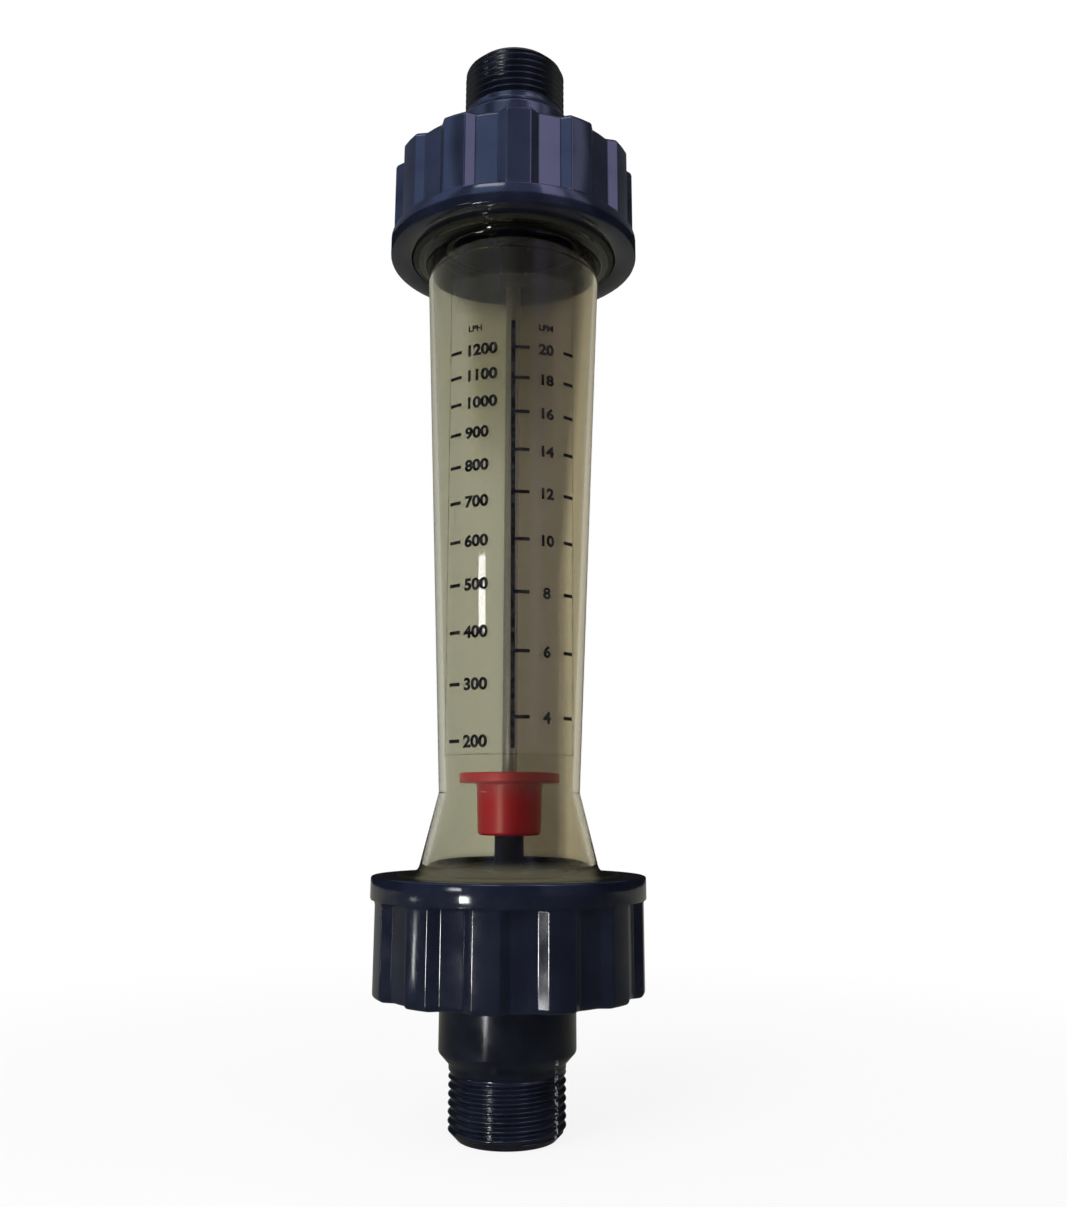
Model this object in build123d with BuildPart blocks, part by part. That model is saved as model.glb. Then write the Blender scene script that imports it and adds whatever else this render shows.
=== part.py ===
from build123d import *
from math import cos, radians, sin
import os

os.makedirs("parts", exist_ok=True)

# A variable-area flow meter for a vertical pipe. The frame stands on the inlet end face:
# +Z is the flow direction and the scale faces -Y. All sizes are in millimetres.

# Pipe connectors
pipe_thread_radius = 16.62
pipe_thread_length = 19.6
pipe_thread_chamfer = 2.6
shoulder_length = 3.2
collar_radius = 19.6
collar_length = 15.2
flow_bore_radius = 12.0
flange_step = 2.85
flange_thickness = 6.0

# Seals
o_ring_section = 2.6
o_ring_inset = 4.8
seal_clearance = 0.05
groove_width = 3.4

# Union nuts
nut_radius = 40.0
nut_wall = 5.5
nut_end_rounding = 2.5
band_height = 6.6
band_step = 0.8
rib_depth = 2.3
rib_count = 12
rib_crest_angle = 9.0
rib_slope_angle = 5.5
rib_crest_rounding = 0.8
rib_root_rounding = 1.6
inlet_rib_turn = -7.5
outlet_rib_turn = -3.0
mouth_chamfer = 0.8
mouth_lead_in = 0.3

# Union threads, drawn at their outer radius
grip_wall = 4.05
union_engagement = 21.1
thread_stand_out = 0.6
thread_clearance = 0.3
turning_clearance = 0.4

# Metering tube
tube_length = 236.0
tube_foot_radius = 20.9
tube_wall = 2.1
head_neck_wall = 1.5
foot_length = 44.6
foot_flare_wall = 2.65
foot_flare_fillet = 3.0
head_fillet = 2.4
entry_bore_length = 23.5
head_bore_length = 28.4
thread_wall = 5.35
guide_seat_depth = 12.0
entry_ledge = 3.5
head_ledge = 1.2
thread_end_chamfer = 0.8

# Guides for the rod
seat_clearance = 0.1
guide_ring_wall = 3.0
guide_skirt_gap = 2.2
guide_skirt_wall = 2.0
guide_skirt_start = 4.0
guide_skirt_end = 17.2
guide_arm_count = 4
guide_arm_thickness = 2.4
guide_arm_height = 10.0
hub_radius = 6.2
hub_height = 16.5

# Rod and float
rod_radius = 2.25
rod_end_chamfer = 0.45
rod_seat_depth = 12.0
rod_seat_clearance = 0.05
stop_radius = 4.3
stop_length = 15.3
float_disc_radius = 14.9
float_disc_thickness = 2.9
float_body_radius = 9.7
float_body_foot_radius = 9.3
float_body_height = 15.7
float_body_fillet = 1.0
float_disc_fillet = 0.5
float_running_clearance = 0.3

# Scale film
film_thickness = 0.2
film_glue = 0.15
film_half_width = 18.7
film_foot = 104.4
film_length = 143.6

# Radii that follow from the nut's, inwards to the bores of the tube
rib_crest_radius = nut_radius - band_step
rib_root_radius = rib_crest_radius - rib_depth
union_thread_radius = rib_root_radius - grip_wall
flange_radius = union_thread_radius - flange_step
o_ring_radius = flange_radius - o_ring_inset
guide_seat_radius = union_thread_radius - thread_wall
head_bore_radius = guide_seat_radius - head_ledge
tube_head_radius = head_bore_radius + head_neck_wall
entry_bore_radius = guide_seat_radius - entry_ledge
foot_flare_radius = entry_bore_radius + foot_flare_wall
guide_skirt_radius = entry_bore_radius - guide_skirt_gap

# Heights along the axis
collar_start = pipe_thread_length + shoulder_length
nut_end = collar_start + collar_length
flange_start = nut_end + nut_wall
tube_start = flange_start + flange_thickness
nut_height = nut_wall + flange_thickness + union_engagement
nut_mouth = nut_end + nut_height
tube_end = tube_start + tube_length
overall_height = tube_end + tube_start
foot_end = tube_start + foot_length
foot_shoulder = nut_mouth + thread_stand_out
head_shoulder = overall_height - foot_shoulder
float_start = tube_start + hub_height + stop_length
groove_depth = o_ring_section + 2 * seal_clearance

# Rib gaps of the nuts, as angles either side of a gap's middle
gap_half_angle = (360 / rib_count - rib_crest_angle) / 2
root_half_angle = gap_half_angle - rib_slope_angle
middle_rib_radius = (rib_crest_radius + rib_root_radius) / 2

# Each end of the meter is built from its own end face inwards. In a section plane x is the
# radius and y the height from that face; a face plane looks along the axis to the middle.
ends = {
    "inlet": (Plane.XZ, Plane.XY, inlet_rib_turn),
    "outlet": (
        Plane((0, 0, overall_height), x_dir=(1, 0, 0), z_dir=(0, 1, 0)),
        Plane((0, 0, overall_height), x_dir=(1, 0, 0), z_dir=(0, 0, -1)),
        outlet_rib_turn,
    ),
}


def polar(radius, angle):
    """Point at this radius and angle in degrees."""
    return (radius * cos(radians(angle)), radius * sin(radians(angle)))


def ring_edges(part, radius, height):
    """Circular edges of a turned part at this radius and height."""
    circles = part.edges().filter_by(GeomType.CIRCLE)
    return circles.filter_by(
        lambda edge: abs(edge.radius - radius) < 0.01 and abs(edge.arc_center.Z - height) < 0.01
    )


# Metering tube: one clear moulding. The outside tapers from the head to a flared foot, and
# both ends carry a male union thread with a seat for a rod guide inside.
taper = (tube_head_radius - tube_foot_radius) / (head_shoulder - foot_end)
head_bore_start = tube_end - head_bore_length
bore_foot_radius = tube_foot_radius - tube_wall
bore_head_radius = bore_foot_radius + taper * (head_bore_start - foot_end)
with BuildPart() as metering_tube:
    with BuildSketch(Plane.XZ):
        with BuildLine():
            Polyline(
                (guide_seat_radius, tube_start),
                (union_thread_radius, tube_start),
                (union_thread_radius, foot_shoulder),
                (foot_flare_radius, foot_shoulder),
                (tube_foot_radius, foot_end),
                (tube_head_radius, head_shoulder),
                (union_thread_radius, head_shoulder),
                (union_thread_radius, tube_end),
                (guide_seat_radius, tube_end),
                (guide_seat_radius, tube_end - guide_seat_depth),
                (head_bore_radius, tube_end - guide_seat_depth),
                (head_bore_radius, head_bore_start),
                (bore_head_radius, head_bore_start),
                (bore_foot_radius, foot_end),
                (entry_bore_radius, tube_start + entry_bore_length),
                (entry_bore_radius, tube_start + guide_seat_depth),
                (guide_seat_radius, tube_start + guide_seat_depth),
                close=True,
            )
        make_face()
    revolve(axis=Axis.Z)
    fillet(ring_edges(metering_tube, foot_flare_radius, foot_shoulder), foot_flare_fillet)
    fillet(ring_edges(metering_tube, tube_head_radius, head_shoulder), head_fillet)
    for height in (tube_start, foot_shoulder, head_shoulder, tube_end):
        chamfer(ring_edges(metering_tube, union_thread_radius, height), thread_end_chamfer)
metering_tube.part.label = "metering_tube"
export_step(metering_tube.part, "parts/metering_tube.step")

# Scale film: a thin printed strip glued on the front of the taper, with upright edges.
film_base_radius = tube_foot_radius + taper * (film_foot - foot_end) + film_glue
film_head_radius = film_base_radius + taper * film_length
with BuildPart() as scale_film:
    with BuildSketch(Plane.XZ):
        with BuildLine():
            Polyline(
                (film_base_radius, film_foot),
                (film_base_radius + film_thickness, film_foot),
                (film_head_radius + film_thickness, film_foot + film_length),
                (film_head_radius, film_foot + film_length),
                close=True,
            )
        make_face()
    revolve(axis=Axis.Z)
    with BuildSketch(Plane.XY.offset(film_foot)):
        with Locations((0, -nut_radius)):
            Rectangle(2 * film_half_width, 2 * nut_radius)
    extrude(amount=film_length, mode=Mode.INTERSECT)
scale_film.part.label = "scale_film"
export_step(scale_film.part, "parts/scale_film.step")

# Guide rod: a plain ground rod, trapped between the blind hubs of the two guides.
rod_start = tube_start + hub_height - rod_seat_depth
with BuildPart() as guide_rod:
    with BuildSketch(Plane.XY.offset(rod_start)):
        Circle(rod_radius)
    extrude(amount=overall_height - 2 * rod_start)
    chamfer(guide_rod.edges().filter_by(GeomType.CIRCLE), rod_end_chamfer)
guide_rod.part.label = "guide_rod"
export_step(guide_rod.part, "parts/guide_rod.step")

# Float: a moulded spool that slides on the rod. The top edge of its disc is read on the scale.
disc_start = float_start + float_body_height
float_top = disc_start + float_disc_thickness
float_bore_radius = rod_radius + float_running_clearance
with BuildPart() as indicator_float:
    with BuildSketch(Plane.XZ):
        with BuildLine():
            Polyline(
                (float_bore_radius, float_start),
                (float_body_foot_radius, float_start),
                (float_body_radius, disc_start),
                (float_disc_radius, disc_start),
                (float_disc_radius, float_top),
                (float_bore_radius, float_top),
                close=True,
            )
        make_face()
    revolve(axis=Axis.Z)
    fillet(
        ring_edges(indicator_float, float_body_foot_radius, float_start)
        + ring_edges(indicator_float, float_body_radius, disc_start),
        float_body_fillet,
    )
    fillet(
        ring_edges(indicator_float, float_disc_radius, disc_start)
        + ring_edges(indicator_float, float_disc_radius, float_top),
        float_disc_fillet,
    )
indicator_float.part.label = "float"
export_step(indicator_float.part, "parts/float.step")

# Gap between two ribs of a union nut: a floor on the root circle and two sloping flanks.
with BuildSketch() as rib_gap:
    with BuildLine():
        ThreePointArc(
            polar(rib_root_radius, -root_half_angle),
            (rib_root_radius, 0),
            polar(rib_root_radius, root_half_angle),
        )
        Polyline(
            polar(rib_root_radius, root_half_angle),
            polar(rib_crest_radius, gap_half_angle),
            polar(nut_radius, gap_half_angle),
            polar(nut_radius, -gap_half_angle),
            polar(rib_crest_radius, -gap_half_angle),
            polar(rib_root_radius, -root_half_angle),
        )
    make_face()

for end, (section, face, rib_turn) in ends.items():
    # Rod guide: a spider moulding seated in the tube end. Crossed arms carry the hub, and a
    # skirt on the arms steers the flow past it.
    with BuildPart() as guide:
        with BuildSketch(face.offset(tube_start)):
            Circle(guide_seat_radius - seat_clearance)
            Circle(guide_seat_radius - seat_clearance - guide_ring_wall, mode=Mode.SUBTRACT)
        extrude(amount=guide_seat_depth)
        with BuildSketch(face.offset(tube_start)):
            with PolarLocations(0, guide_arm_count // 2, angular_range=180):
                Rectangle(2 * guide_seat_radius - guide_ring_wall, guide_arm_thickness)
        extrude(amount=guide_arm_height)
        with BuildSketch(face.offset(tube_start + guide_skirt_start)):
            Circle(guide_skirt_radius)
            Circle(guide_skirt_radius - guide_skirt_wall, mode=Mode.SUBTRACT)
        extrude(amount=guide_skirt_end - guide_skirt_start)
        with BuildSketch(face.offset(tube_start)):
            Circle(hub_radius)
        extrude(amount=hub_height)
        with BuildSketch(face.offset(tube_start + hub_height - rod_seat_depth)):
            Circle(rod_radius + rod_seat_clearance)
        extrude(amount=rod_seat_depth, mode=Mode.SUBTRACT)
    guide.part.label = f"{end}_guide"
    export_step(guide.part, f"parts/{end}_guide.step")

    # Float stop: a sleeve on the rod, between the guide's hub and the float.
    with BuildPart() as stop:
        with BuildSketch(face.offset(tube_start + hub_height)):
            Circle(stop_radius)
            Circle(rod_radius + rod_seat_clearance, mode=Mode.SUBTRACT)
        extrude(amount=stop_length)
    stop.part.label = f"{end}_float_stop"
    export_step(stop.part, f"parts/{end}_float_stop.step")

    # Connector: male pipe thread, drawn at its outer radius, then a collar and the flange that
    # the nut pulls against the tube.
    with BuildPart() as connector:
        with BuildSketch(section):
            with BuildLine():
                Polyline(
                    (flow_bore_radius, 0),
                    (pipe_thread_radius, 0),
                    (pipe_thread_radius, pipe_thread_length),
                    (collar_radius, collar_start),
                    (collar_radius, flange_start),
                    (flange_radius, flange_start),
                    (flange_radius, tube_start),
                    (flow_bore_radius, tube_start),
                    close=True,
                )
            make_face()
            with Locations((o_ring_radius, tube_start)):
                Rectangle(groove_width, 2 * groove_depth, mode=Mode.SUBTRACT)
        revolve(axis=Axis.Z)
        chamfer(
            ring_edges(connector, pipe_thread_radius, face.origin.Z),
            pipe_thread_chamfer,
            pipe_thread_chamfer,
        )
    connector.part.label = f"{end}_connector"
    export_step(connector.part, f"parts/{end}_connector.step")

    # Face seal in the flange's groove.
    with BuildPart() as o_ring:
        with BuildSketch(section):
            with Locations((o_ring_radius, tube_start - o_ring_section / 2 - seal_clearance)):
                Circle(o_ring_section / 2)
        revolve(axis=Axis.Z)
    o_ring.part.label = f"{end}_o_ring"
    export_step(o_ring.part, f"parts/{end}_o_ring.step")

    # Union nut: a ribbed grip under a plain band, with an end wall that holds the connector
    # by its flange and a threaded mouth for the tube.
    with BuildPart() as union_nut:
        with BuildSketch(face.offset(nut_end)) as grip:
            Circle(rib_crest_radius)
            with PolarLocations(0, rib_count, start_angle=rib_turn + 180 / rib_count):
                add(rib_gap.sketch, mode=Mode.SUBTRACT)
            rib_corners = grip.vertices().filter_by(
                lambda corner: corner.distance_to(face.origin + face.z_dir * nut_end) > middle_rib_radius
            )
            root_corners = grip.vertices() - rib_corners
            fillet(rib_corners, rib_crest_rounding)
            fillet(root_corners, rib_root_rounding)
        extrude(amount=nut_height - band_height)
        with BuildSketch(face.offset(nut_mouth - band_height)):
            Circle(nut_radius)
        extrude(amount=band_height)
        with BuildSketch(section):
            with BuildLine():
                Polyline(
                    (rib_crest_radius - nut_end_rounding, nut_end),
                    (collar_radius + turning_clearance, nut_end),
                    (collar_radius + turning_clearance, flange_start),
                    (union_thread_radius + thread_clearance, flange_start),
                    (union_thread_radius + thread_clearance, nut_mouth - mouth_lead_in),
                    (union_thread_radius + thread_clearance + mouth_lead_in, nut_mouth),
                    (nut_radius - mouth_chamfer, nut_mouth),
                    (nut_radius, nut_mouth - mouth_chamfer),
                    (nut_radius, nut_mouth - band_height),
                    (rib_crest_radius, nut_mouth - band_height),
                    (rib_crest_radius, nut_end + nut_end_rounding),
                )
                RadiusArc(
                    (rib_crest_radius, nut_end + nut_end_rounding),
                    (rib_crest_radius - nut_end_rounding, nut_end),
                    nut_end_rounding,
                )
            make_face()
        revolve(axis=Axis.Z, mode=Mode.INTERSECT)
    union_nut.part.label = f"{end}_union_nut"
    export_step(union_nut.part, f"parts/{end}_union_nut.step")
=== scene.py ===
"""Looks of a clear-tube flow meter with union ends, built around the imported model. Metres, +Z up."""
from math import asin, atan2, cos, hypot, pi, radians, sin, tan

import bmesh
import bpy
from mathutils import Matrix, Vector


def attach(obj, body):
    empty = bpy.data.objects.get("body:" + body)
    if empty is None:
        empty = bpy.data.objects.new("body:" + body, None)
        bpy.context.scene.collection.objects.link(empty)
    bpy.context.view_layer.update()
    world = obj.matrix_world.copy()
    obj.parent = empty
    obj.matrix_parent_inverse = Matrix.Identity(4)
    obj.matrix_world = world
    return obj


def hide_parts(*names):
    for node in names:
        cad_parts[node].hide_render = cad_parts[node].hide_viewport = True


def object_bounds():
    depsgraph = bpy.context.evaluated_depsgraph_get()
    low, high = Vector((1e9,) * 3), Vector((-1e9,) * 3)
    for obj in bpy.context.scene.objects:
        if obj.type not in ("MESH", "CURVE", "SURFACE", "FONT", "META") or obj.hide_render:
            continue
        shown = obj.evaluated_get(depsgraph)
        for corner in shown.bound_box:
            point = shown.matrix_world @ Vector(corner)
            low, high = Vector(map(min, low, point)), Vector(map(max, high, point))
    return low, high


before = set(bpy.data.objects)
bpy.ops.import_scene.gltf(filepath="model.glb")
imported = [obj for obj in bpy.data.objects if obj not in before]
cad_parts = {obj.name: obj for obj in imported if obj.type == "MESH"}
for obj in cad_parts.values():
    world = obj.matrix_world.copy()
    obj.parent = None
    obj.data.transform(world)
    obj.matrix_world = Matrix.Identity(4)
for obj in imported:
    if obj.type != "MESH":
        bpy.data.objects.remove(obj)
cad_box = [list(corner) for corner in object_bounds()]
MM = 0.001
overall_height = cad_box[1][2] / MM


# Studio: a pale floor that keeps the meter's shadow, under a white backdrop that the camera and
# clear plastic see. Reflections see a dim room, with tall bright panes high up that light the
# upper nut, and soft boxes at the front left that give the crisp streaks.
def linear(hex_colour):
    """Linear colour for an sRGB hex value."""
    channels = [int(hex_colour[i:i + 2], 16) / 255 for i in (1, 3, 5)]
    return tuple(c / 12.92 if c <= 0.04045 else ((c + 0.055) / 1.055) ** 2.4 for c in channels) + (1.0,)


def add_node(tree, kind, settings=None, links=None):
    """Add a node, set its properties and sockets, and link its inputs."""
    node = tree.nodes.new(kind)
    for key, value in (settings or {}).items():
        if isinstance(key, str) and hasattr(node, key):
            setattr(node, key, value)
        else:
            node.inputs[key].default_value = value
    for key, source in (links or {}).items():
        tree.links.new(source, node.inputs[key])
    return node


def seen_straight(tree):
    """Light path of a node tree, and 1 for what is seen straight or through clear plastic."""
    path = add_node(tree, "ShaderNodeLightPath")
    seen = add_node(tree, "ShaderNodeMath", {"operation": "MAXIMUM"},
                    {0: path.outputs["Is Camera Ray"], 1: path.outputs["Is Transmission Ray"]})
    return path, seen


room_colour, room_light = "#eef0f4", 0.55
dim_reflection, pane_reflection = 0.35, 4.2
# upward part of a direction where the panes begin, and where they are full
pane_edge = (0.485, 0.502)
# degrees from the front to the right, and the tone that reflections see there
pane_tones = (
    (-100, "#3c4254"), (-82, "#5a6890"), (-66, "#6a7ba8"), (-56, "#3c4458"), (-44, "#4a5470"),
    (-34, "#7286b4"), (-15, "#7688b8"), (-6, "#4e5676"), (10, "#525a7c"), (22, "#5c6288"),
    (27, "#7e82ae"), (32, "#bebef2"), (44, "#b2aee6"), (54, "#54587a"), (62, "#7f82a6"),
    (70, "#7a7c9c"), (78, "#2c2d3a"), (180, "#30302e"),
)
world = bpy.data.worlds.new("studio")
bpy.context.scene.world = world
world.use_nodes = True
sky = world.node_tree
sky.nodes.clear()
path, seen = seen_straight(sky)
place = add_node(sky, "ShaderNodeTexCoord")
way = add_node(sky, "ShaderNodeSeparateXYZ", {}, {0: place.outputs["Generated"]})
high_up = add_node(sky, "ShaderNodeMapRange", {
    "interpolation_type": "SMOOTHSTEP", "From Min": pane_edge[0], "From Max": pane_edge[1]},
    {"Value": way.outputs["Z"]})
towards = add_node(sky, "ShaderNodeMath", {"operation": "MULTIPLY", 1: -1.0},
                   {0: way.outputs["Y"]})
heading = add_node(sky, "ShaderNodeMath", {"operation": "ARCTAN2"},
                   {0: way.outputs["X"], 1: towards.outputs[0]})
place_round = add_node(sky, "ShaderNodeMapRange", {"From Min": -pi, "From Max": pi},
                       {"Value": heading.outputs[0]})
panes = add_node(sky, "ShaderNodeValToRGB", {}, {0: place_round.outputs[0]})
ramp = panes.color_ramp
while len(ramp.elements) > 1:
    ramp.elements.remove(ramp.elements[-1])
ramp.elements[0].position = 0.0
ramp.elements[0].color = linear(pane_tones[-1][1])
for angle, tone in pane_tones:
    ramp.elements.new(0.5 + angle / 360).color = linear(tone)
mirror_strength = add_node(sky, "ShaderNodeMapRange", {
    "To Min": dim_reflection, "To Max": pane_reflection}, {"Value": high_up.outputs[0]})
strength = add_node(sky, "ShaderNodeMix", {"data_type": "FLOAT", 2: room_light},
                    {0: path.outputs["Is Glossy Ray"], 3: mirror_strength.outputs[0]})
room_tone = add_node(sky, "ShaderNodeMix", {"data_type": "RGBA", 6: linear(room_colour)},
                     {0: path.outputs["Is Glossy Ray"], 7: panes.outputs[0]})
room = add_node(sky, "ShaderNodeBackground", {},
                {"Color": room_tone.outputs[2], "Strength": strength.outputs[0]})
backdrop = add_node(sky, "ShaderNodeBackground", {"Color": (1, 1, 1, 1), "Strength": 1.0})
seen_sky = add_node(sky, "ShaderNodeMixShader", {},
                    {0: seen.outputs[0], 1: room.outputs[0], 2: backdrop.outputs[0]})
add_node(sky, "ShaderNodeOutputWorld", {}, {"Surface": seen_sky.outputs[0]})

# Matt pale paint under the meter keeps its shadow, and turns to the backdrop's white further out.
# Reflections see it dim, and brighter towards the back. These sizes are in metres.
floor_size = 6.0
near_glow, glow_start, glow_end = 0.86, 0.08, 0.42
mirror_start, mirror_end = -0.1, 0.25
mirror_near, mirror_far = 0.05, 0.4
floor_mesh = bpy.data.meshes.new("floor")
half_floor = floor_size / 2
floor_mesh.from_pydata(
    [(-half_floor, -half_floor, 0), (half_floor, -half_floor, 0), (half_floor, half_floor, 0),
     (-half_floor, half_floor, 0)], [], [(0, 1, 2, 3)])
floor = bpy.data.objects.new("floor", floor_mesh)
bpy.context.scene.collection.objects.link(floor)
floor_paint = bpy.data.materials.new("pale_floor")
floor_paint.use_nodes = True
tree = floor_paint.node_tree
tree.nodes.clear()
path, seen = seen_straight(tree)
place = add_node(tree, "ShaderNodeTexCoord")
out_from_foot = add_node(tree, "ShaderNodeVectorMath", {"operation": "LENGTH"},
                         {0: place.outputs["Object"]})
fade = add_node(tree, "ShaderNodeMapRange", {
    "interpolation_type": "SMOOTHSTEP", "From Min": glow_start, "From Max": glow_end,
    "To Min": near_glow}, {"Value": out_from_foot.outputs["Value"]})
glow = add_node(tree, "ShaderNodeMath", {"operation": "MULTIPLY"},
                {0: seen.outputs[0], 1: fade.outputs[0]})
matt = add_node(tree, "ShaderNodeBsdfDiffuse", {"Color": linear("#f4f4f2")})
white = add_node(tree, "ShaderNodeEmission", {"Color": (1, 1, 1, 1), "Strength": 1.0})
lit = add_node(tree, "ShaderNodeMixShader", {},
               {0: glow.outputs[0], 1: matt.outputs[0], 2: white.outputs[0]})
along = add_node(tree, "ShaderNodeSeparateXYZ", {}, {0: place.outputs["Object"]})
behind = add_node(tree, "ShaderNodeMapRange", {
    "interpolation_type": "SMOOTHSTEP", "From Min": mirror_start, "From Max": mirror_end,
    "To Min": mirror_near, "To Max": mirror_far}, {"Value": along.outputs["Y"]})
dim = add_node(tree, "ShaderNodeEmission", {"Color": linear("#dcdccb")},
               {"Strength": behind.outputs[0]})
mirror_only = add_node(tree, "ShaderNodeMath", {"operation": "SUBTRACT", "use_clamp": True},
                       {0: path.outputs["Is Glossy Ray"], 1: path.outputs["Is Transmission Ray"]})
surface = add_node(tree, "ShaderNodeMixShader", {},
                   {0: mirror_only.outputs[0], 1: lit.outputs[0], 2: dim.outputs[0]})
add_node(tree, "ShaderNodeOutputMaterial", {}, {"Surface": surface.outputs[0]})
floor_mesh.materials.append(floor_paint)

# name: direction from the front (degrees to the right), distance, height above the floor, width,
# height, watts, whether reflections show it
soft_boxes = {
    "window": (-42, 1300, 288, 240, 107, 1.1, True),
    "window_head": (-24, 1300, 1750, 620, 260, 2.6, True),
    "window_foot": (-33, 260, 26, 24, 50, 0.3, True),
    "window_left": (-77, 300, 11, 5, 22, 0.01, True),
    "window_collar": (-33, 125, 11, 8, 15, 0.01, True),
    "key": (-30, 1200, 900, 900, 700, 8.0, False),
    "fill": (40, 1500, 600, 1200, 1200, 5.0, False),
}
for name, (turn, distance, rise, width, height, watts, mirrored) in soft_boxes.items():
    lamp = bpy.data.lights.new(name, "AREA")
    lamp.shape = "RECTANGLE"
    lamp.size = width * MM
    lamp.size_y = height * MM
    lamp.energy = watts
    lamp_object = bpy.data.objects.new(name, lamp)
    bpy.context.scene.collection.objects.link(lamp_object)
    angle = radians(turn)
    lamp_object.location = Vector((sin(angle) * distance, -cos(angle) * distance, rise)) * MM
    aim = lamp_object.location - Vector((0, 0, min(rise, overall_height / 2) * MM))
    lamp_object.rotation_euler = aim.to_track_quat("Z", "Y").to_euler()
    lamp_object.visible_glossy = mirrored
    lamp_object.visible_camera = False
    lamp_object.visible_transmission = False

# Camera: low in front of the lower nut and tilted up, as the photograph was taken. Its optical
# axis meets the picture above the middle, which the shift gives.
photo_height = 1207
focal_pixels = 1146.8
optical_row = 553.5
camera_tilt = radians(12.42)
camera_roll = radians(0.2)
eye = Vector((6.9, -347.8, 90.3)) * MM
camera_data = bpy.data.cameras.new("camera")
camera_data.sensor_width = 36.0
camera_data.lens = focal_pixels / photo_height * camera_data.sensor_width
camera_data.shift_y = (optical_row - photo_height / 2) / photo_height
camera_data.clip_start = 0.01
camera = bpy.data.objects.new("camera", camera_data)
bpy.context.scene.collection.objects.link(camera)
camera.matrix_world = (Matrix.Translation(eye) @ Matrix.Rotation(pi / 2 + camera_tilt, 4, "X")
                       @ Matrix.Rotation(camera_roll, 4, "Z"))
bpy.context.scene.camera = camera
bpy.context.scene.view_settings.view_transform = "Standard"


# Metering tube: one clear moulding in smoky styrene copolymer, with a tapered bore, a flared
# foot and a male union thread at each end. Its polished wall shows the float and rod inside.
def rounded(corners, steps=6):
    """Closed outline through (x, y, radius) corners, each rounded by its own radius."""
    outline = []
    for index, (x, y, radius) in enumerate(corners):
        corner = Vector((x, y))
        if not radius:
            outline.append((x, y))
            continue
        back = (Vector(corners[index - 1][:2]) - corner).normalized()
        ahead = (Vector(corners[(index + 1) % len(corners)][:2]) - corner).normalized()
        half = back.angle(ahead) / 2
        centre = corner + (back + ahead).normalized() * radius / sin(half)
        start = corner + back * radius / tan(half) - centre
        turn = (pi - 2 * half) * (1 if back.cross(ahead) < 0 else -1)
        for step in range(steps + 1):
            point = centre + Matrix.Rotation(turn * step / steps, 2) @ start
            outline.append((point.x, point.y))
    return outline


def turned(name, rows, angles, flipped=False, sharp_from=32):
    """Closed form about the Z axis from rows of (radius, height) in mm, a radius being one number
    or one for each angle. A flipped form is turned end for end about X."""
    vertices = []
    for radius, height in rows:
        for column, angle in enumerate(angles):
            reach = radius if isinstance(radius, (int, float)) else radius[column]
            x, y, z = reach * cos(angle), reach * sin(angle), height
            if flipped:
                y, z = -y, overall_height - z
            vertices.append((x * MM, y * MM, z * MM))
    count = len(angles)
    faces = []
    for row in range(len(rows)):
        below, above = row * count, (row + 1) % len(rows) * count
        for column in range(count):
            beside = (column + 1) % count
            faces.append((below + column, below + beside, above + beside, above + column))
    mesh = bpy.data.meshes.new(name)
    mesh.from_pydata(vertices, [], faces)
    piece = bpy.data.objects.new(name, mesh)
    bpy.context.scene.collection.objects.link(piece)
    finish_mesh(mesh, sharp_from)
    return piece


def finish_mesh(mesh, sharp_from):
    """Merge doubled points, face the mesh outwards and shade it smooth up to the sharp angle."""
    work = bmesh.new()
    work.from_mesh(mesh)
    bmesh.ops.remove_doubles(work, verts=work.verts, dist=1e-7)
    bmesh.ops.recalc_face_normals(work, faces=work.faces)
    work.to_mesh(mesh)
    work.free()
    mesh.shade_smooth()
    mesh.set_sharp_from_angle(angle=radians(sharp_from))


def full_turn(count):
    """Evenly spaced angles right round."""
    return [2 * pi * index / count for index in range(count)]


def thread_rows(angles, radius, depth, pitch, start, end, fade_start, fade_end, steps=14):
    """Rows of a right-handed thread cut from radius, fading out over the two fade lengths. A
    tenth of the pitch is flat at the crest, and another at the root."""
    flat = 0.1
    rows = []
    count = max(2, int(abs(end - start) / pitch * steps))
    for index in range(count + 1):
        height = start + (end - start) * index / count
        fade = 1.0
        if fade_start:
            fade = min(fade, abs(height - start) / fade_start)
        if fade_end:
            fade = min(fade, abs(end - height) / fade_end)
        ring = []
        for angle in angles:
            phase = (height / pitch - angle / (2 * pi)) % 1.0
            flank = abs(2 * phase - 1)
            cut = min(1.0, max(0.0, (flank - flat) / (1 - 2 * flat)))
            ring.append(radius - depth * fade * cut)
        rows.append((ring, height))
    return rows


def principled(name, settings, links=None):
    """Material with one Principled shader, and its node tree."""
    paint = bpy.data.materials.new(name)
    paint.use_nodes = True
    tree = paint.node_tree
    tree.nodes.clear()
    shader = add_node(tree, "ShaderNodeBsdfPrincipled", settings, links)
    add_node(tree, "ShaderNodeOutputMaterial", {}, {"Surface": shader.outputs[0]})
    return paint, tree, shader


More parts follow.
